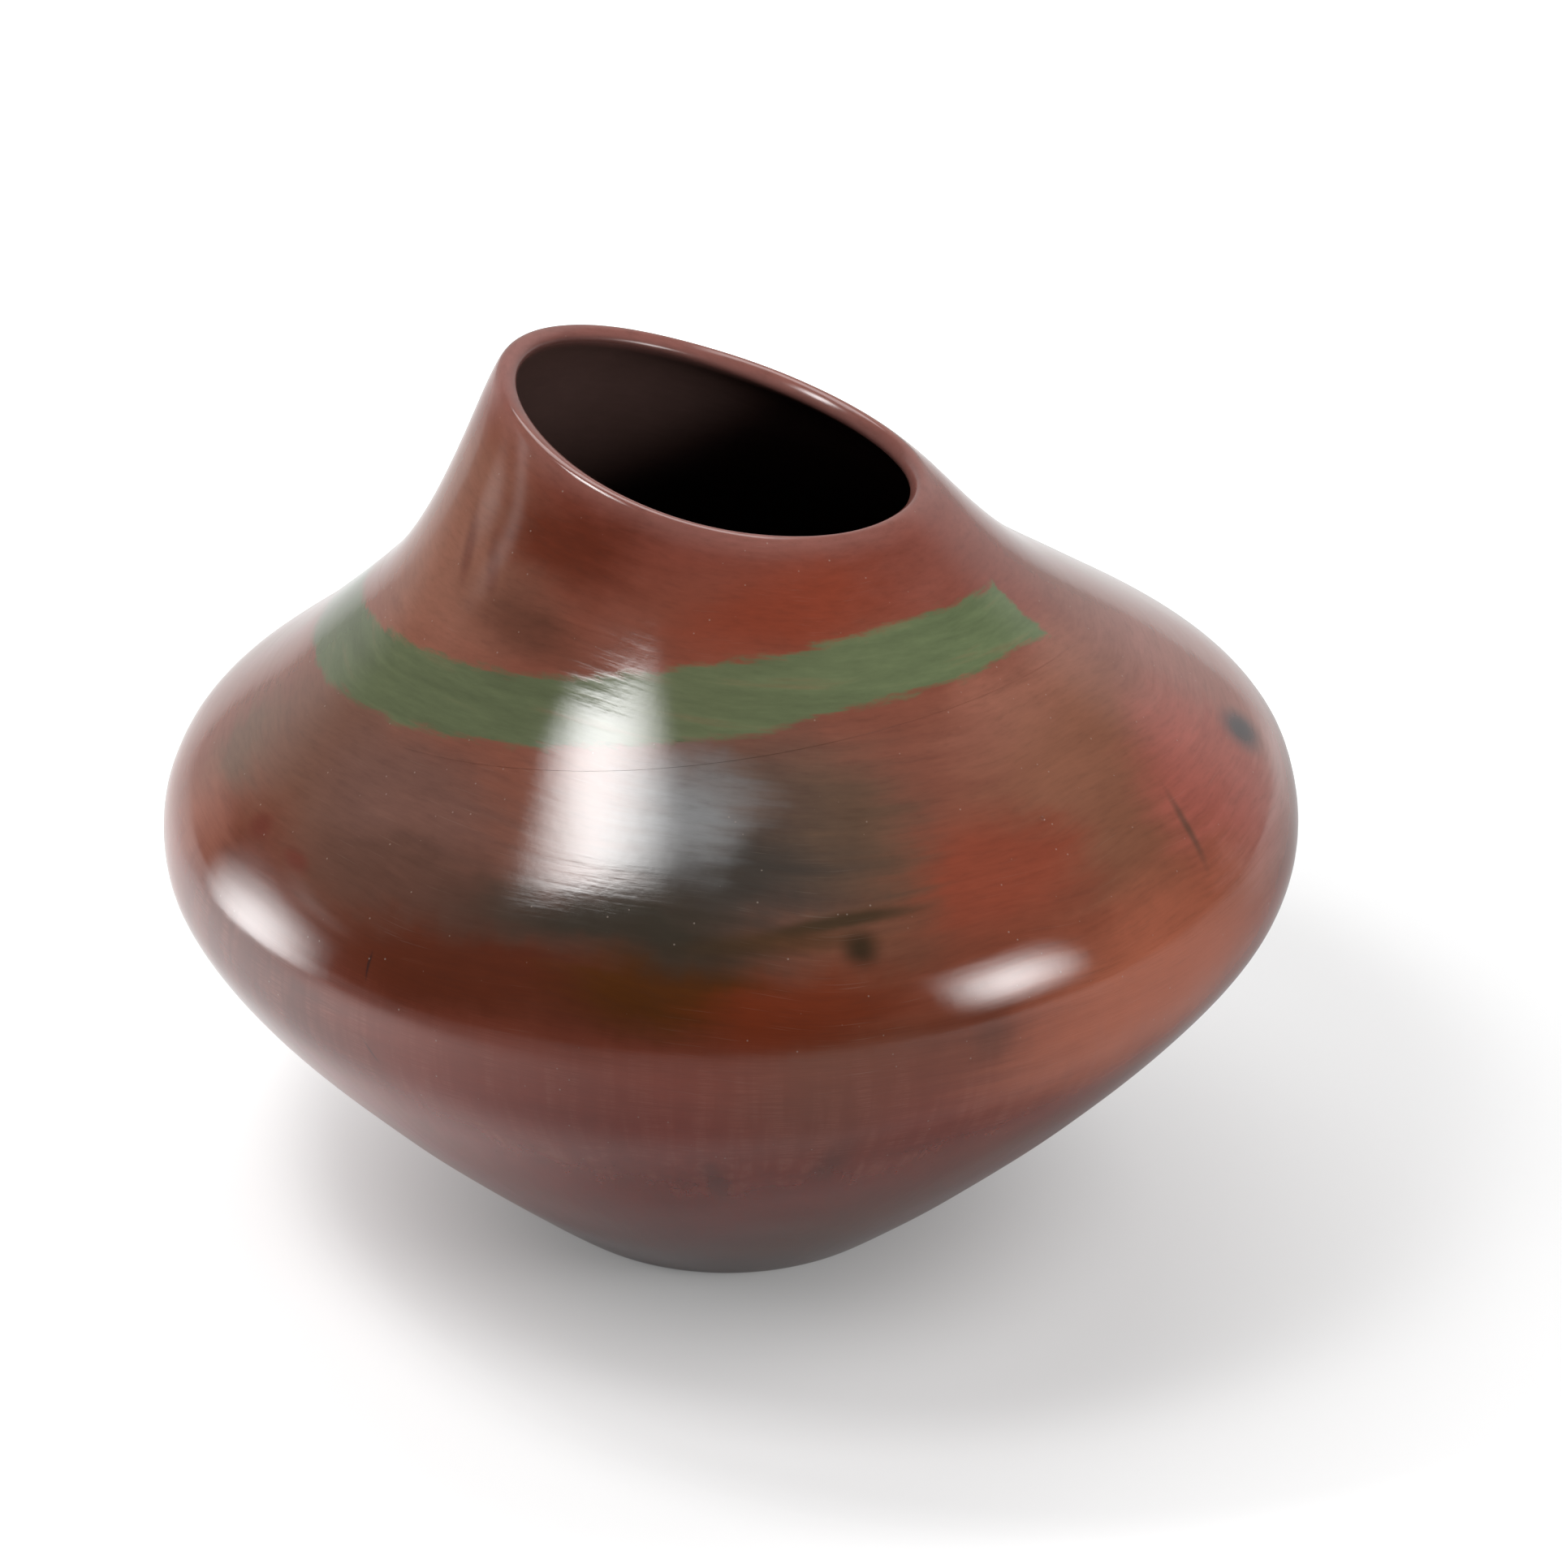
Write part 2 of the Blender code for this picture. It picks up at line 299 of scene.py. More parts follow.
# The green stripe: a thin coat laid along the shoulder
stripeShape = {
    "startTurn": 150.0,
    "endTurn": 344.0,
    "width": 0.0158,
    "belowLip": 0.0506,            # mean distance down the wall from the lip to its middle
    "sway": 0.0221,
    "highTurn": 320.0,
    "margin": 0.0055,              # spare coat past the painted edge, where the clay shows
    "proud": 0.00006,
    "columns": 300,
    "rowsAcross": 24,
    "coat": 0.00030,
    "crease": 40.0,
    "meanRadius": 0.068,           # of the wall along the stripe
}


def buildStripe():
    s = stripeShape
    selectNothing()
    bpy.ops.mesh.primitive_grid_add(x_subdivisions=s["columns"], y_subdivisions=s["rowsAcross"], size=2)
    stripe = bpy.context.object
    stripe.name = "green_stripe"
    marginTurn = math.degrees(s["margin"] / wallSizes["neckRadius"])
    turns = np.radians(np.linspace(s["startTurn"] - marginTurn, s["endTurn"] + marginTurn, s["columns"] + 1))
    wall = traceWall(turns)
    sway = s["sway"] * np.cos(turns - math.radians(s["highTurn"]))
    middle = wall["length"] - s["belowLip"] + sway
    halfWidth = s["width"] / 2 + s["margin"]
    rings, walks = [], []
    for row in range(s["rowsAcross"] + 1):
        across = 2 * row / s["rowsAcross"] - 1
        climb = middle + halfWidth * across
        rings.append(wallRing(wall, climb, 0 * climb - s["proud"]))
        walks.append(climb / wall["length"])

    bpy.ops.object.mode_set(mode="EDIT")
    mesh = bmesh.from_edit_mesh(stripe.data)
    walkLayer = mesh.verts.layers.float.new("wallWalk")
    for vert in mesh.verts:
        column = round((vert.co.x + 1) / 2 * s["columns"])
        row = round((vert.co.y + 1) / 2 * s["rowsAcross"])
        vert.co = rings[row][column]
        vert[walkLayer] = walks[row][column]
    bmesh.update_edit_mesh(stripe.data)
    bpy.ops.mesh.select_all(action="SELECT")
    bpy.ops.mesh.normals_make_consistent(inside=False)
    bpy.ops.object.mode_set(mode="OBJECT")
    bpy.ops.object.shade_smooth()
    waverSkin(stripe, "")
    applyModifier(stripe, "SOLIDIFY", "coat", thickness=s["coat"], offset=-1.0)
    selectNothing()
    stripe.select_set(True)
    bpy.ops.object.shade_smooth_by_angle(angle=math.radians(s["crease"]))
    return stripe


jar = buildJar()
print("jar skin:", len(jar.data.polygons), "faces", [round(size, 4) for size in jar.dimensions])
stripe = buildStripe()
print("green stripe:", len(stripe.data.polygons), "faces")


def addNode(tree, kind, inputs=None, **settings):
    new = tree.nodes.new(kind)
    for name, value in settings.items():
        setattr(new, name, value)
    for socket, value in (inputs or {}).items():
        if isinstance(value, bpy.types.NodeSocket):
            tree.links.new(value, new.inputs[socket])
        else:
            new.inputs[socket].default_value = value
    return new


def addNoise(tree, place, scale, detail=2.0, roughness=0.5):
    settings = {"Vector": place, "Scale": scale, "Detail": detail, "Roughness": roughness}
    return addNode(tree, "ShaderNodeTexNoise", settings).outputs


def addMath(tree, operation, first, second=0.0):
    return addNode(tree, "ShaderNodeMath", {0: first, 1: second}, operation=operation).outputs[0]


def addVector(tree, operation, first, second=(0, 0, 0)):
    node = addNode(tree, "ShaderNodeVectorMath", {0: first, 1: second}, operation=operation)
    return node.outputs["Value" if operation in ("LENGTH", "DOT_PRODUCT") else "Vector"]


def addRange(tree, value, low, high, toLow=0.0, toHigh=1.0, kind="SMOOTHSTEP"):
    inputs = {0: value, 1: low, 2: high, 3: toLow, 4: toHigh}
    return addNode(tree, "ShaderNodeMapRange", inputs, interpolation_type=kind).outputs[0]


def mixColour(tree, amount, first, second, blend="MIX"):
    first = first if isinstance(first, bpy.types.NodeSocket) else (*first, 1)
    second = second if isinstance(second, bpy.types.NodeSocket) else (*second, 1)
    inputs = {0: amount, 6: first, 7: second}
    return addNode(tree, "ShaderNodeMix", inputs, data_type="RGBA", blend_type=blend).outputs[2]


def mixValue(tree, amount, first, second):
    return addNode(tree, "ShaderNodeMix", {0: amount, 2: first, 3: second}).outputs[0]


def toneColour(tree, colour, tone):
    shade = addNode(tree, "ShaderNodeCombineXYZ", {0: tone, 1: tone, 2: tone}).outputs[0]
    return mixColour(tree, 1.0, colour, shade, "MULTIPLY")


def rampColour(tree, value, low, high, stops):
    ramp = addNode(tree, "ShaderNodeValToRGB", {0: addRange(tree, value, low, high, kind="LINEAR")})
    elements = ramp.color_ramp.elements
    while len(elements) < len(stops):
        elements.new(1.0)
    for element, (position, colour) in zip(elements, stops):
        element.position = (position - low) / (high - low)
        element.color = (*colour, 1)
    return ramp.outputs[0]


def startMaterial(name):
    material = bpy.data.materials.new(name)
    material.use_nodes = True
    tree = material.node_tree
    return material, tree, tree.nodes["Principled BSDF"]


# The clay: its colour up the wall (0 at the foot, 1 at the lip, then back down inside) and its surface
clayLook = {
    "upTheWall": (
        (-0.10, (0.085, 0.055, 0.050)),
        (0.00, (0.150, 0.078, 0.072)),
        (0.12, (0.180, 0.056, 0.048)),
        (0.32, (0.190, 0.038, 0.028)),
        (0.47, (0.195, 0.038, 0.026)),
        (0.53, (0.185, 0.042, 0.026)),
        (0.57, (0.130, 0.034, 0.018)),
        (0.66, (0.160, 0.055, 0.033)),
        (0.80, (0.180, 0.064, 0.042)),
        (0.93, (0.178, 0.050, 0.030)),
        (0.98, (0.170, 0.044, 0.028)),
        (1.00, (0.220, 0.085, 0.068)),
        (1.02, (0.200, 0.080, 0.068)),
        # inside the mouth: the clay's dark inside, darkened further towards the floor as painted shade
        (1.032, (0.075, 0.040, 0.034)),
        (1.08, (0.082, 0.046, 0.040)),
        (1.30, (0.046, 0.026, 0.022)),
        (2.00, (0.016, 0.010, 0.009)),
    ),
    "olive": (0.125, 0.064, 0.038),
    "scraped": (0.275, 0.095, 0.066),
    "fleck": (0.070, 0.034, 0.024),
    "speck": (0.340, 0.270, 0.230),
    "gloss": 0.065,                # roughness where the stone passed best
    "dull": 0.125,
    "inside": 0.34,
    "ior": 1.5,
    "strokeDepth": 0.000028,
    "grainDepth": 0.000010,
    "fleckDepth": 0.000005,
    "pitDepth": 0.00012,
    # waves per metre, or round the jar and up the wall
    "blotchWaves": 9.0,
    "mottleWaves": 26.0,
    "grainWaves": 420.0,
    "fleckWaves": (130.0, 130.0, 130.0),
    "roundWaves": (2.2, 85.0),
    "uprightWaves": (42.0, 9.0),
    "wander": 0.10,
    "strokesTurn": (0.42, 0.58),   # share of the wall where upright strokes give way to round ones
    "fleckComb": (6.0, 6.0, 2.6),  # flecks and hairlines drawn out along the round strokes
    "hairlineComb": (3.5, 3.5, 11.0),
    "patchComb": 0.09,
    "patchRagged": (0.022, 0.022, 0.022),
    "smallRagged": (0.004, 0.004, 0.004),
    "smallPatch": 0.008,           # half size up to which a mark counts as small
    "patchReach": 0.05,            # how deep a mark goes through the wall
    "patchProbe": 0.001,
    # where each pattern comes in, and how strongly
    "mouthEdge": (1.0, 1.04),
    "oliveFrom": (0.50, 0.72),
    "oliveMost": 0.5,
    "fleckFrom": (0.50, 0.70),
    "fleckMost": 0.09,
    "scrapedFoot": (0.26, 0.42),
    "scrapedBelly": (0.50, 0.57),
    "scrapedFrom": (0.42, 0.70),
    "scrapedMost": 0.45,
    "scrapedBreaks": (0.56, 0.40),
    "hairlineFrom": (0.66, 0.78),
    "hairlineMost": 0.08,
    "hairlinePatch": (0.45, 0.60),
    "polishFrom": (0.30, 0.75),
    # the low and high end of a pattern, then the tone at each
    "mottleTone": (0.30, 0.70, 0.90, 1.10),
    "strokeTone": (0.25, 0.75, 0.94, 1.06),
    "fleckTone": (0.30, 0.70, 1.10, 0.94),
    "specks": {"scale": 360.0, "chosen": (0.62, 0.63), "edge": (0.03, 0.10), "most": 0.50},
    "pores": {"scale": 120.0, "chosen": (0.90, 0.91), "edge": (0.03, 0.08), "most": 1.0},
}
# Fire clouds, smudges and brush marks, and patches of painted highlight, painted reflection, painted shade
# and painted light, later ones on top: degrees round, share of the wall, half size round and up in metres,
# tilt in degrees, solid core, strength, colour
cloudsAndPaintedLight = {
    "farLeftBrown": (174, 0.62, 0.060, 0.055, 0, 0.2, 0.85, (0.195, 0.084, 0.064)),
    # painted shade: a dark patch low on the left of the belly
    "leftLowPaintedShade": (212, 0.49, 0.055, 0.034, 4, 0.3, 0.75, (0.080, 0.030, 0.024)),
    "leftOlive": (208, 0.69, 0.055, 0.030, -12, 0.3, 0.85, (0.124, 0.062, 0.043)),
    "leftBrown": (226, 0.70, 0.045, 0.024, -6, 0.3, 0.85, (0.126, 0.063, 0.049)),
    "leftDark": (234, 0.638, 0.050, 0.018, 2, 0.3, 0.85, (0.086, 0.041, 0.029)),
    "leftGreyOlive": (190, 0.625, 0.022, 0.018, 10, 0.2, 0.75, (0.110, 0.070, 0.048)),
    "leftOrange": (197, 0.565, 0.028, 0.012, -8, 0.2, 0.8, (0.215, 0.082, 0.056)),
    "neckLeftTan": (199, 0.89, 0.048, 0.034, -10, 0.3, 0.9, (0.210, 0.092, 0.062)),
    "neckDarkRed": (232, 0.950, 0.028, 0.016, -6, 0.2, 0.9, (0.100, 0.019, 0.008)),
    "neckSmudge": (226, 0.875, 0.026, 0.010, -14, 0.1, 0.8, (0.098, 0.036, 0.022)),
    "neckOrange": (290, 0.950, 0.042, 0.014, 0, 0.2, 0.8, (0.180, 0.034, 0.016)),
    "neckRightPink": (345, 0.93, 0.045, 0.035, 0, 0.2, 0.7, (0.205, 0.066, 0.050)),
    # pink clay on the right, made paler with painted light and painted reflection from that side
    "farRightPinkAndPaintedLight": (367, 0.70, 0.060, 0.055, 0, 0.2, 0.85, (0.260, 0.110, 0.088)),
    "rightPinkSideAndPaintedLight": (340, 0.590, 0.026, 0.014, 0, 0.2, 0.9, (0.340, 0.180, 0.155)),
    "rightPinkLowAndPaintedLight": (355, 0.605, 0.036, 0.016, 0, 0.2, 0.8, (0.310, 0.155, 0.130)),
    "shoulderTan": (326, 0.815, 0.042, 0.017, 4, 0.1, 0.85, (0.270, 0.112, 0.077)),
    "rightOlive": (324, 0.75, 0.045, 0.026, 8, 0.2, 0.8, (0.195, 0.082, 0.049)),
    "rightOliveLow": (322, 0.66, 0.022, 0.020, 20, 0.1, 0.6, (0.150, 0.064, 0.036)),
    "rightRed": (343, 0.66, 0.036, 0.030, 0, 0.3, 0.8, (0.275, 0.076, 0.058)),
    "orangePatch": (303, 0.685, 0.034, 0.018, -4, 0.3, 0.85, (0.205, 0.045, 0.024)),
    "orangeBelly": (300, 0.60, 0.040, 0.014, 0, 0.2, 0.75, (0.185, 0.046, 0.024)),
    "lowRightOrange": (316, 0.53, 0.068, 0.028, 6, 0.2, 0.9, (0.370, 0.112, 0.064)),
    "frontDarkRed": (243, 0.585, 0.055, 0.014, 2, 0.3, 0.85, (0.078, 0.016, 0.006)),
    "frontOlive": (264, 0.605, 0.032, 0.015, 0, 0.3, 0.9, (0.064, 0.019, 0.002)),
    "cloudHalo": (272, 0.745, 0.046, 0.034, 0, 0.3, 0.85, (0.082, 0.058, 0.044)),
    "cloudMargin": (287, 0.72, 0.020, 0.030, 8, 0.1, 0.7, (0.102, 0.060, 0.036)),
    "cloudHeart": (270, 0.700, 0.042, 0.018, 3, 0.2, 0.9, (0.038, 0.033, 0.028)),
    "cloudTail": (258, 0.652, 0.050, 0.012, -2, 0.2, 0.95, (0.034, 0.028, 0.020)),
    # a blue-grey fire cloud, made pale as a painted highlight: the fading edge of the overhead lamp's shine
    # beside it
    "cloudBlueAndPaintedHighlight": (265, 0.757, 0.020, 0.020, 0, 0.1, 0.90, (0.210, 0.213, 0.215)),
    "streakLong": (283, 0.660, 0.024, 0.0026, 2, 0.2, 0.85, (0.036, 0.024, 0.012)),
    "streakLow": (276, 0.645, 0.030, 0.0040, -2, 0.1, 0.7, (0.050, 0.026, 0.010)),
    "darkSpot": (284.7, 0.635, 0.0060, 0.0060, 0, 0.1, 0.9, (0.024, 0.016, 0.008)),
    "frontOrangeStrip": (278, 0.585, 0.036, 0.012, 0, 0.2, 0.8, (0.128, 0.020, 0.005)),
    "blueSpot": (356, 0.645, 0.013, 0.0078, -20, 0.15, 0.95, (0.045, 0.044, 0.046)),
    "rightStreak": (331, 0.642, 0.0018, 0.013, -25, 0.1, 0.75, (0.080, 0.044, 0.030)),
    "redDotOne": (207, 0.605, 0.006, 0.004, 0, 0.2, 0.7, (0.110, 0.026, 0.018)),
    "redDotTwo": (216, 0.607, 0.007, 0.003, 0, 0.2, 0.7, (0.110, 0.026, 0.018)),
    "neckStrokeOne": (207, 0.895, 0.003, 0.011, 20, 0.2, 0.6, (0.100, 0.030, 0.020)),
    "neckStrokeTwo": (216, 0.900, 0.003, 0.009, 24, 0.2, 0.6, (0.100, 0.030, 0.020)),
    "lowWispOne": (269, 0.37, 0.004, 0.020, 10, 0.1, 0.5, (0.090, 0.036, 0.030)),
    "lowWispTwo": (281, 0.41, 0.006, 0.016, -8, 0.1, 0.5, (0.085, 0.034, 0.026)),
    "lowWispThree": (296, 0.545, 0.008, 0.007, 0, 0.1, 0.5, (0.085, 0.034, 0.022)),
    "footGrey": (268, 0.05, 0.060, 0.020, 0, 0.2, 0.6, (0.110, 0.070, 0.066)),
    # the foot's grey-pink clay, made paler still as painted light thrown up from the paper under the jar
    "footPaleAndPaintedLight": (244, 0.06, 0.026, 0.022, 0, 0.2, 0.7, (0.260, 0.190, 0.188)),
    "pitOne": (252.0, 0.803, 0.0011, 0.0007, 0, 0.3, 0.9, (0.030, 0.014, 0.010)),
    "pitTwo": (254.5, 0.825, 0.0009, 0.0006, 0, 0.3, 0.9, (0.030, 0.014, 0.010)),
    "pitThree": (263.0, 0.817, 0.0014, 0.0006, 0, 0.3, 0.9, (0.030, 0.014, 0.010)),
    "crackOne": (232.0, 0.566, 0.0005, 0.0040, 6, 0.3, 0.8, (0.030, 0.014, 0.012)),
    "crackTwo": (233.0, 0.492, 0.0004, 0.0045, 35, 0.3, 0.6, (0.050, 0.024, 0.022)),
    "backCloud": (118, 0.64, 0.055, 0.034, 6, 0.2, 0.85, (0.050, 0.042, 0.036)),
    "backCloudHalo": (135, 0.70, 0.050, 0.040, 0, 0.1, 0.6, (0.095, 0.058, 0.042)),
    "backOrange": (72, 0.68, 0.055, 0.026, -5, 0.2, 0.75, (0.205, 0.050, 0.028)),
    "backOlive": (40, 0.78, 0.045, 0.026, 8, 0.2, 0.7, (0.150, 0.070, 0.044)),
    "backLow": (95, 0.42, 0.060, 0.040, 0, 0.2, 0.6, (0.100, 0.045, 0.036)),
    "backNeck": (95, 0.92, 0.040, 0.020, 0, 0.2, 0.6, (0.190, 0.048, 0.030)),
}


def layCloudsAndPaintedLight(tree, colour, loosePlace, tightPlace):
    s = clayLook
    for turn, share, around, along, tilt, core, strength, shade in cloudsAndPaintedLight.values():
        wall = traceWall(np.radians(np.array([turn])))
        distance = share * wall["length"]
        point = Vector(wallRing(wall, distance, 0 * distance)[0])
        climb = (Vector(wallRing(wall, distance + s["patchProbe"], 0 * distance)[0]) - point).normalized()
        face = (Vector(wallRing(wall, distance, 0 * distance - s["patchProbe"])[0]) - point).normalized()
        side = climb.cross(face).normalized()
        basis = Matrix((side, face.cross(side), face)).transposed()
        basis = basis @ Matrix.Rotation(math.radians(tilt), 3, "Z")
        place = loosePlace if min(around, along) > s["smallPatch"] else tightPlace
        inputs = {"Vector": place, "Location": point, "Rotation": basis.to_euler(),
                  "Scale": (around, along, s["patchReach"])}
        near = addNode(tree, "ShaderNodeMapping", inputs, vector_type="TEXTURE").outputs[0]
        away = addVector(tree, "LENGTH", near)
        colour = mixColour(tree, addRange(tree, away, core, 1.0, strength, 0.0), colour, shade)
    return colour


def strokePlace(tree, way, climb, waves):
    around, along = waves
    row = addNode(tree, "ShaderNodeCombineXYZ", {2: addMath(tree, "MULTIPLY", climb, along)}).outputs[0]
    return addVector(tree, "ADD", addVector(tree, "MULTIPLY", way, (around, around, 0)), row)


def scatterDots(tree, place, scale, chosen, edge, most):
    cells = addNode(tree, "ShaderNodeTexVoronoi", {"Vector": place, "Scale": scale}).outputs
    dot = addRange(tree, cells["Distance"], *edge, most, 0.0)
    return addMath(tree, "MULTIPLY", dot, addRange(tree, cells["Color"], *chosen))


def layClay(tree):
    # returns colour, roughness and height, shared by the jar and by the bare clay round the stripe,
    # then the patterns of the round strokes, the mottling and the flecks
    s = clayLook
    place = addNode(tree, "ShaderNodeTexCoord").outputs["Object"]
    walk = addNode(tree, "ShaderNodeAttribute", attribute_name="wallWalk").outputs["Fac"]
    way = addVector(tree, "NORMALIZE", addVector(tree, "MULTIPLY", place, (1, 1, 0)))
    blotch = addNoise(tree, place, s["blotchWaves"], 2.0)[0]
    mottling = addNoise(tree, place, s["mottleWaves"], 5.0, 0.62)
    mottle = mottling[0]

    # burnishing strokes run round the shoulder and neck, and up and down below the belly
    climb = addMath(tree, "ADD", walk, addMath(tree, "MULTIPLY_ADD", blotch, s["wander"]))
    roundPlace = strokePlace(tree, way, climb, s["roundWaves"])
    uprightPlace = strokePlace(tree, way, climb, s["uprightWaves"])
    roundStroke = addNoise(tree, roundPlace, 1.0, 3.0)[0]
    uprightStroke = addNoise(tree, uprightPlace, 1.0, 3.0)[0]
    above = addRange(tree, walk, *s["strokesTurn"])
    stroke = mixValue(tree, above, uprightStroke, roundStroke)

    # edges of the clouds and painted patches are combed along the strokes and a little ragged
    ragged = addVector(tree, "SUBTRACT", mottling[1], (0.5, 0.5, 0.5))
    comb = addRange(tree, roundStroke, 0.0, 1.0, -s["patchComb"], s["patchComb"], "LINEAR")
    inputs = {"Vector": place, "Angle": comb}
    combed = addNode(tree, "ShaderNodeVectorRotate", inputs, rotation_type="Z_AXIS").outputs[0]
    loose = addVector(tree, "ADD", combed, addVector(tree, "MULTIPLY", ragged, s["patchRagged"]))
    tight = addVector(tree, "ADD", place, addVector(tree, "MULTIPLY", ragged, s["smallRagged"]))

    # the wall's own colour, olive blotches, and the clouds with the patches of painted light and shade among
    # them, which stop at the mouth
    stops = s["upTheWall"]
    colour = rampColour(tree, walk, stops[0][0], stops[-1][0], stops)
    outside = addRange(tree, walk, *s["mouthEdge"], 1.0, 0.0)
    olive = addRange(tree, blotch, *s["oliveFrom"], 0.0, s["oliveMost"])
    colour = mixColour(tree, addMath(tree, "MULTIPLY", olive, outside), colour, s["olive"])
    cloudedAndPaintedLight = layCloudsAndPaintedLight(tree, colour, loose, tight)
    colour = mixColour(tree, outside, colour, cloudedAndPaintedLight)

    # dark flecks and the uneven tone of the firing
    combedPlace = addVector(tree, "MULTIPLY", roundPlace, s["fleckComb"])
    evenPlace = addVector(tree, "MULTIPLY", place, s["fleckWaves"])
    inputs = {0: above, 4: evenPlace, 5: combedPlace}
    fleckPlace = addNode(tree, "ShaderNodeMix", inputs, data_type="VECTOR").outputs[1]
    fleck = addNoise(tree, fleckPlace, 1.0, 5.0, 0.68)[0]
    fleckAmount = addRange(tree, fleck, *s["fleckFrom"], 0.0, s["fleckMost"])
    colour = mixColour(tree, addMath(tree, "MULTIPLY", fleckAmount, outside), colour, s["fleck"])
    tone = addMath(tree, "MULTIPLY", addRange(tree, mottle, *s["mottleTone"], "LINEAR"),
                   addRange(tree, stroke, *s["strokeTone"], "LINEAR"))
    tone = addMath(tree, "MULTIPLY", tone, addRange(tree, fleck, *s["fleckTone"], "LINEAR"))
    colour = toneColour(tree, colour, tone)

    # paler scraped strokes under the belly
    low = addMath(tree, "MULTIPLY", addRange(tree, walk, *s["scrapedFoot"]),
                  addRange(tree, walk, *s["scrapedBelly"], 1.0, 0.0))
    scraped = addRange(tree, uprightStroke, *s["scrapedFrom"], 0.0, s["scrapedMost"])
    scraped = addMath(tree, "MULTIPLY", scraped, low)
    scraped = addMath(tree, "MULTIPLY", scraped, addRange(tree, fleck, *s["scrapedBreaks"]))
    colour = mixColour(tree, scraped, colour, s["scraped"])

    # pale specks, hairlines and pores
    speck = addMath(tree, "MULTIPLY", scatterDots(tree, place, **s["specks"]), outside)
    colour = mixColour(tree, speck, colour, s["speck"])
    hairPlace = addVector(tree, "MULTIPLY", roundPlace, s["hairlineComb"])
    hairNoise = addNoise(tree, hairPlace, 1.0, 1.0)[0]
    hairline = addRange(tree, hairNoise, *s["hairlineFrom"], 0.0, s["hairlineMost"])
    hairline = addMath(tree, "MULTIPLY", hairline, addRange(tree, mottle, *s["hairlinePatch"]))
    colour = mixColour(tree, addMath(tree, "MULTIPLY", hairline, outside), colour, s["speck"])
    pit = scatterDots(tree, place, **s["pores"])

    polish = addRange(tree, mottle, *s["polishFrom"], s["gloss"], s["dull"], "LINEAR")
    roughness = mixValue(tree, outside, s["inside"], polish)
    grain = addNoise(tree, place, s["grainWaves"], 2.0)[0]
    height = addMath(tree, "MULTIPLY", stroke, s["strokeDepth"])
    height = addMath(tree, "ADD", height, addMath(tree, "MULTIPLY", grain, s["grainDepth"]))
    height = addMath(tree, "SUBTRACT", height, addMath(tree, "MULTIPLY", fleck, s["fleckDepth"]))
    height = addMath(tree, "SUBTRACT", height, addMath(tree, "MULTIPLY", pit, s["pitDepth"]))
    return colour, roughness, height, roundStroke, mottle, fleck


def finishMaterial(tree, shader, colour, roughness, height):
    tree.links.new(colour, shader.inputs["Base Color"])
    tree.links.new(roughness, shader.inputs["Roughness"])
    bump = addNode(tree, "ShaderNodeBump", {"Height": height, "Strength": 1.0, "Distance": 1.0})
    tree.links.new(bump.outputs[0], shader.inputs["Normal"])
    shader.inputs["IOR"].default_value = clayLook["ior"]


def makeClay():
    material, tree, shader = startMaterial("burnished clay")
    colour, roughness, height = layClay(tree)[:3]
    finishMaterial(tree, shader, colour, roughness, height)
    return material


# The slip: brushed on thin, so its edges are ragged and the clay shows through in streaks
slipLook = {
    "alongStripe": (               # from its left end to its right
        (0.2, (0.086, 0.101, 0.053)),
        (0.6, (0.102, 0.118, 0.060)),
        (1.0, (0.112, 0.145, 0.070)),
    ),
    "ragged": 0.0036,
    "fray": 0.0012,
    "frayFrom": (0.25, 0.75),
    "edge": 0.0011,
    "thin": 0.25,
    "thinFrom": (0.55, 0.75),
    "strokeTone": (0.25, 0.75, 0.84, 1.16),
    "fleckTone": (0.30, 0.70, 1.10, 0.91),
    "depth": 0.000006,
}


def makeSlip():
    s, shape = slipLook, stripeShape
    material, tree, shader = startMaterial("green slip")
    colour, roughness, height, stroke, mottle, fleck = layClay(tree)
    spot = addNode(tree, "ShaderNodeSeparateXYZ", {0: addNode(tree, "ShaderNodeUVMap").outputs[0]}).outputs
    halfWidth = shape["width"] / 2 + shape["margin"]
    run = math.radians(shape["endTurn"] - shape["startTurn"]) * shape["meanRadius"] + 2 * shape["margin"]
    across = addRange(tree, spot[1], 0.0, 1.0, -halfWidth, halfWidth, "LINEAR")
    fromSide = addMath(tree, "SUBTRACT", shape["width"] / 2, addMath(tree, "ABSOLUTE", across))
    fromEnd = addRange(tree, spot[0], 0.0, 1.0, run - shape["margin"], -shape["margin"], "LINEAR")
    inside = addMath(tree, "MINIMUM", fromSide, fromEnd)
    ragged = addRange(tree, mottle, 0.0, 1.0, -s["ragged"], s["ragged"], "LINEAR")
    combed = addRange(tree, stroke, 0.0, 1.0, -s["ragged"] / 2, s["ragged"] / 2, "LINEAR")
    inside = addMath(tree, "ADD", inside, addMath(tree, "ADD", ragged, combed))
    fray = addRange(tree, fleck, *s["frayFrom"], -s["fray"], s["fray"], "LINEAR")
    cover = addRange(tree, addMath(tree, "ADD", inside, fray), -s["edge"], s["edge"])
    thin = addRange(tree, stroke, *s["thinFrom"], 1.0, 1.0 - s["thin"])
    green = rampColour(tree, spot[0], 0.0, 1.0, s["alongStripe"])
    tone = addMath(tree, "MULTIPLY", addRange(tree, stroke, *s["strokeTone"], "LINEAR"),
                   addRange(tree, fleck, *s["fleckTone"], "LINEAR"))
    green = toneColour(tree, green, tone)
    colour = mixColour(tree, addMath(tree, "MULTIPLY", cover, thin), colour, green)
    height = addMath(tree, "ADD", height, addMath(tree, "MULTIPLY", cover, s["depth"]))
    finishMaterial(tree, shader, colour, roughness, height)
    return material


for piece, material in ((jar, makeClay()), (stripe, makeSlip())):
    piece.data.materials.clear()
    piece.data.materials.append(material)

clayNodes = [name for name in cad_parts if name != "green_slip_band"]
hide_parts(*clayNodes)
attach(jar, "root")
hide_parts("green_slip_band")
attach(stripe, "root")
print("pieces dressed")

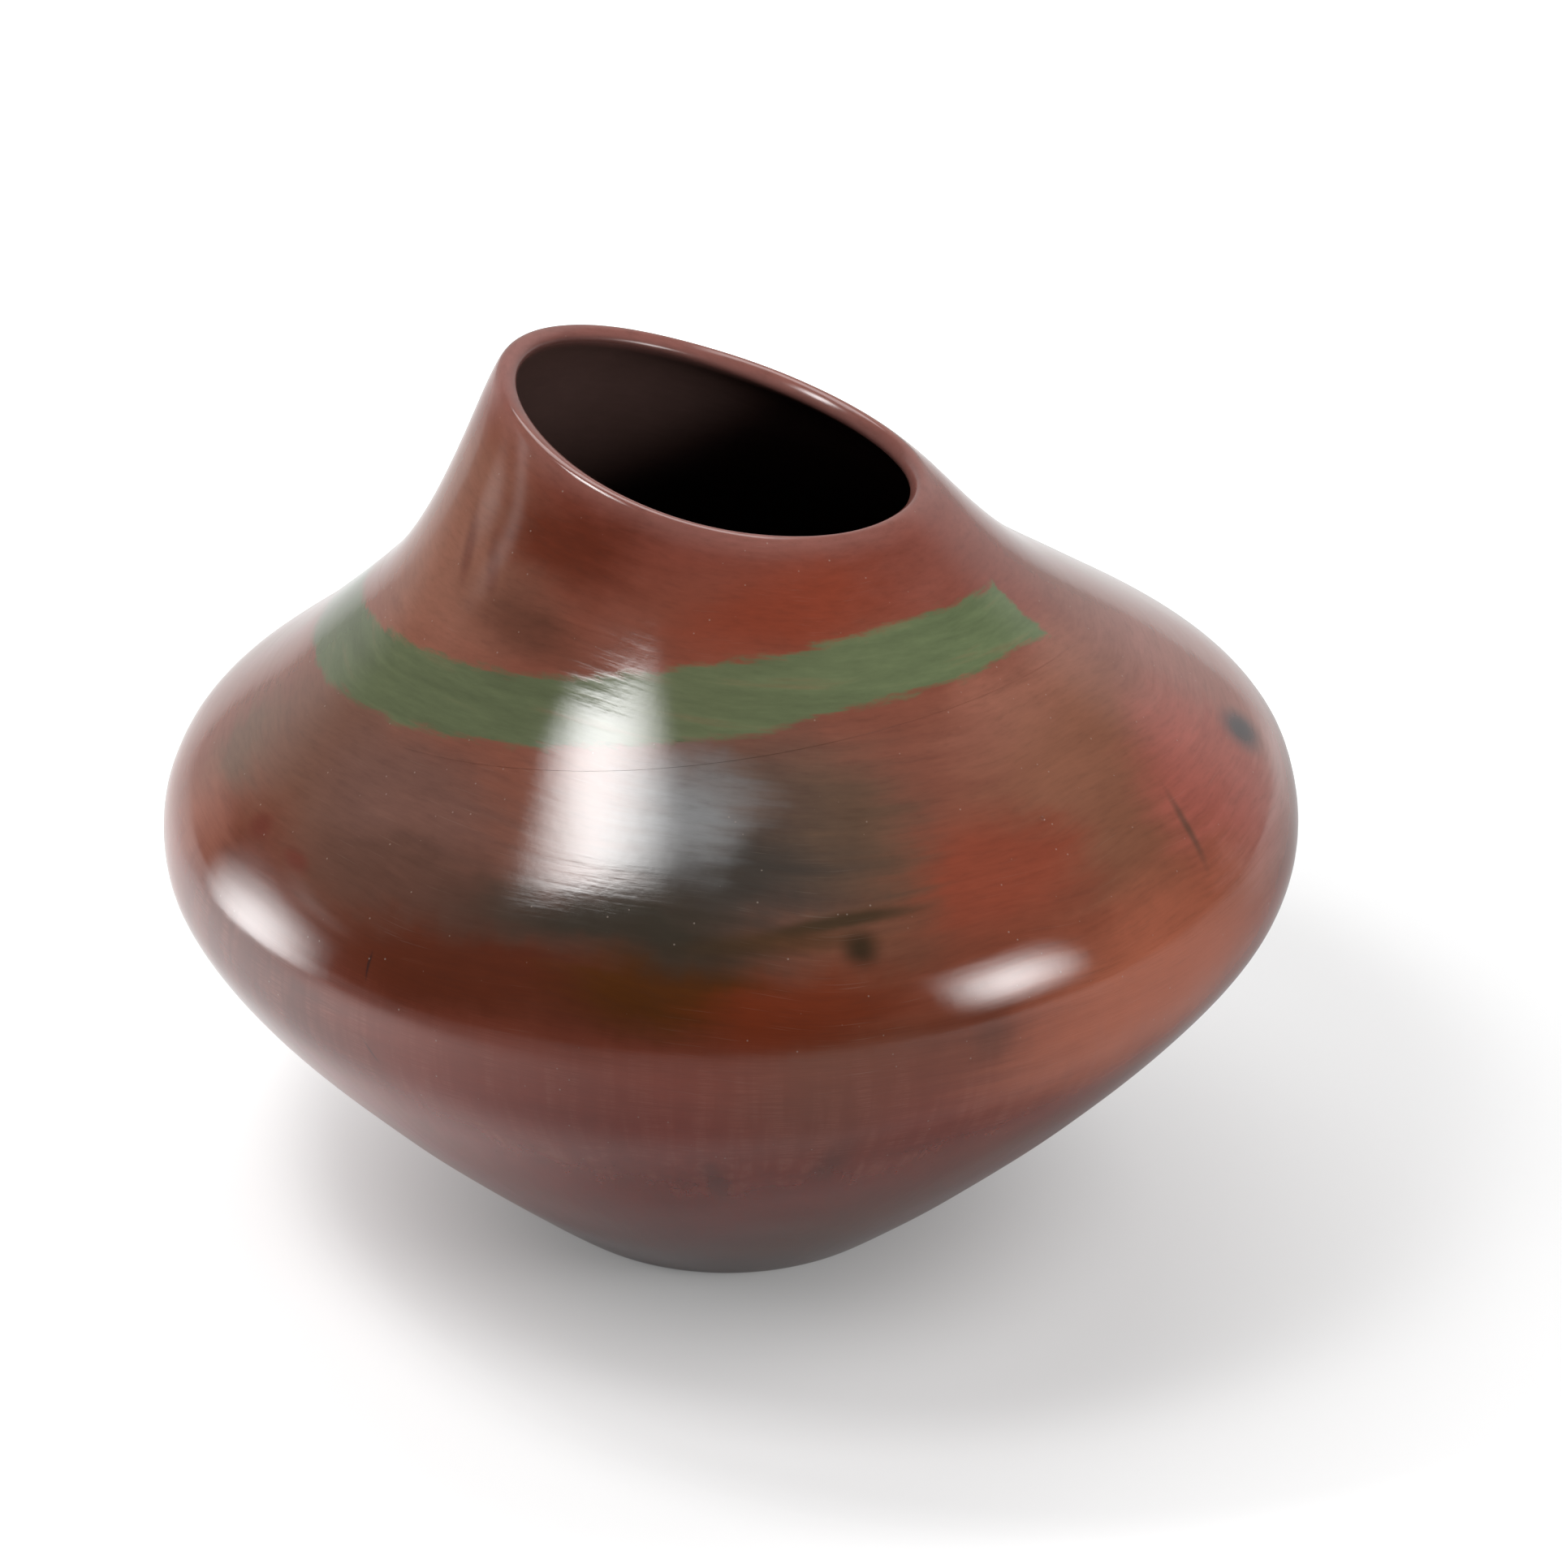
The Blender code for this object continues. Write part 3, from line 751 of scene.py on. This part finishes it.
# Floor, lights and camera
stage = {
    "floorWidth": 3.2,
    "floorColour": (0.44, 0.44, 0.44, 1),
    "paperNear": 0.15,             # lifts the paper towards white for the camera alone: beside the foot,
    "paperWhite": 0.47,            # round the jar,
    "paperEdge": 0.16,             # past its shadow,
    "paperFar": 0.46,              # and out where the lamps fall off
    "shadowMiddle": (0.075, 0.03, 0.0),
    "nearReach": (0.03, 0.10),     # metres over which each of these comes in
    "shadowReach": (0.162, 0.188),
    "farReach": (0.17, 0.44),
    "nearGlow": 0.05,              # light thrown back from the paper under the jar
    "backGlow": 0.48,              # the lit paper behind the jar
    "leftGlow": 0.06,              # and on its front left, under the lamp
    "underReach": (0.08, 0.20),
    "backWay": (-0.40, 1.0, 0.0),
    "backReach": (0.05, 0.40),
    "leftWay": (-1.0, -0.6, 0.0),
    "leftReach": (0.08, 0.50),
    "darkRoom": 0.08,
    "backWall": 0.62,
    "wallReach": (0.55, 0.80),
}
# place and aim in metres; turn about the upright in degrees; brightness is the panel's own, with
# white at 1; soft is the share of its width and height over which its borders fade; a fill has no shine
softboxes = {
    "overhead": {"place": (0.06, 0.50, 1.33), "aim": (0.06, 0.50, 0.0), "size": (1.40, 0.90),
                 "brightness": 4.5, "soft": (0.20, 0.12)},
    "overheadCore": {"place": (-0.545, -0.388, 1.32), "aim": (-0.545, -0.388, 0.0), "size": (0.82, 0.40),
                     "turn": -15.0, "brightness": 22.0, "soft": (0.5, 0.20)},
    "overheadFill": {"place": (-0.500, -0.408, 1.32), "aim": (-0.500, -0.408, 0.0), "size": (0.94, 0.36),
                     "turn": -15.0, "brightness": 5.7, "soft": (0.5, 0.20), "shine": False},
    "leftPanel": {"place": (-0.550, 0.032, 0.092), "aim": (-0.098, -0.070, 0.11), "size": (0.41, 0.42),
                  "brightness": 11.5, "soft": (0.48, 0.48)},
    "leftLow": {"place": (-0.30, -0.09, 0.004), "aim": (-0.30, -0.09, 1.0), "size": (0.58, 0.76),
                "brightness": 1.5, "soft": (0.5, 0.5)},
    "neckPanel": {"place": (-1.132, 0.082, 0.540), "aim": (-0.044, -0.032, 0.185), "size": (0.70, 0.20),
                  "brightness": 1.0, "soft": (0.5, 0.5)},
    "rightPanel": {"place": (0.895, -0.620, 0.446), "aim": (0.0, 0.0, 0.10), "size": (0.66, 0.80),
                   "brightness": 16.5, "soft": (0.5, 0.5)},
}
view = {
    "aim": (0.0120, 0.0, 0.1012),
    "elevation": 28.0,
    "distance": 1.5,
    "lens": 156.5,
    "sensor": 36.0,
}


def addSoftbox(name, box):
    selectNothing()
    bpy.ops.object.light_add(type="AREA", location=box["place"])
    lamp = bpy.context.object
    lamp.name = name
    way = Vector(box["aim"]) - Vector(box["place"])
    turn = Matrix.Rotation(math.radians(box.get("turn", 0.0)), 3, "Z")
    lamp.rotation_euler = (turn @ way.to_track_quat("-Z", "Y").to_matrix()).to_euler()
    lamp.data.shape = "RECTANGLE"
    lamp.data.size, lamp.data.size_y = box["size"]
    lamp.data.energy = box["brightness"] * math.pi * box["size"][0] * box["size"][1]
    lamp.visible_camera = False
    lamp.visible_glossy = box.get("shine", True)
    lamp.data.use_nodes = True
    tree = lamp.data.node_tree
    spot = addNode(tree, "ShaderNodeNewGeometry").outputs["Parametric"]
    level = 1.0
    for side, soft in zip(addNode(tree, "ShaderNodeSeparateXYZ", {0: spot}).outputs, box["soft"]):
        fromEdge = addMath(tree, "MINIMUM", side, addMath(tree, "SUBTRACT", 1.0, side))
        level = addMath(tree, "MULTIPLY", addRange(tree, fromEdge, 0.0, soft), level)
    tree.links.new(level, tree.nodes["Emission"].inputs["Strength"])


def seenDirectly(tree):
    # the camera's own rays, and those that come to it through something clear
    rays = addNode(tree, "ShaderNodeLightPath").outputs
    return addMath(tree, "MAXIMUM", rays["Is Camera Ray"], rays["Is Transmission Ray"])


def addFloor():
    s = stage
    selectNothing()
    bpy.ops.mesh.primitive_plane_add(size=s["floorWidth"], location=(0, 0, 0))
    floor = bpy.context.object
    floor.name = "floor"
    material, tree, shader = startMaterial("white paper")
    shader.inputs["Base Color"].default_value = s["floorColour"]
    shader.inputs["Roughness"].default_value = 1.0
    shader.inputs["Specular IOR Level"].default_value = 0.0
    shader.inputs["Emission Color"].default_value = (1, 1, 1, 1)
    place = addNode(tree, "ShaderNodeTexCoord").outputs["Object"]
    away = addVector(tree, "LENGTH", place)
    past = addVector(tree, "LENGTH", addVector(tree, "SUBTRACT", place, s["shadowMiddle"]))
    lift = addRange(tree, away, *s["nearReach"], s["paperNear"], s["paperWhite"])
    lift = addMath(tree, "ADD", lift, addRange(tree, past, *s["shadowReach"], 0.0, s["paperEdge"]))
    lift = addMath(tree, "ADD", lift, addRange(tree, away, *s["farReach"], 0.0, s["paperFar"]))
    behind = addVector(tree, "DOT_PRODUCT", place, s["backWay"])
    left = addVector(tree, "DOT_PRODUCT", place, s["leftWay"])
    lit = addRange(tree, behind, *s["backReach"], 0.0, s["backGlow"])
    lit = addMath(tree, "ADD", lit, addRange(tree, left, *s["leftReach"], 0.0, s["leftGlow"]))
    lit = addMath(tree, "ADD", lit, addRange(tree, away, *s["underReach"], s["nearGlow"], 0.0))
    glow = mixValue(tree, seenDirectly(tree), lit, lift)
    tree.links.new(glow, shader.inputs["Emission Strength"])
    floor.data.materials.append(material)


def addWorld():
    world = bpy.data.worlds.new("studio")
    bpy.context.scene.world = world
    world.use_nodes = True
    tree = world.node_tree
    tree.nodes.clear()
    way = addNode(tree, "ShaderNodeTexCoord").outputs["Generated"]
    back = addNode(tree, "ShaderNodeSeparateXYZ", {0: way}).outputs["Y"]
    level = addRange(tree, back, *stage["wallReach"], stage["darkRoom"], stage["backWall"])
    level = mixValue(tree, seenDirectly(tree), level, 1.0)
    glow = addNode(tree, "ShaderNodeBackground", {"Strength": level})
    output = addNode(tree, "ShaderNodeOutputWorld")
    tree.links.new(glow.outputs[0], output.inputs["Surface"])


def addCamera():
    tilt = math.radians(view["elevation"])
    place = Vector(view["aim"]) + view["distance"] * Vector((0.0, -math.cos(tilt), math.sin(tilt)))
    selectNothing()
    bpy.ops.object.camera_add(location=place, rotation=(math.radians(90 - view["elevation"]), 0, 0))
    camera = bpy.context.object
    camera.data.lens = view["lens"]
    camera.data.sensor_width = view["sensor"]
    bpy.context.scene.camera = camera


addFloor()
addWorld()
for name, box in softboxes.items():
    addSoftbox(name, box)
addCamera()
bpy.context.scene.view_settings.view_transform = "Standard"
print("stage set")
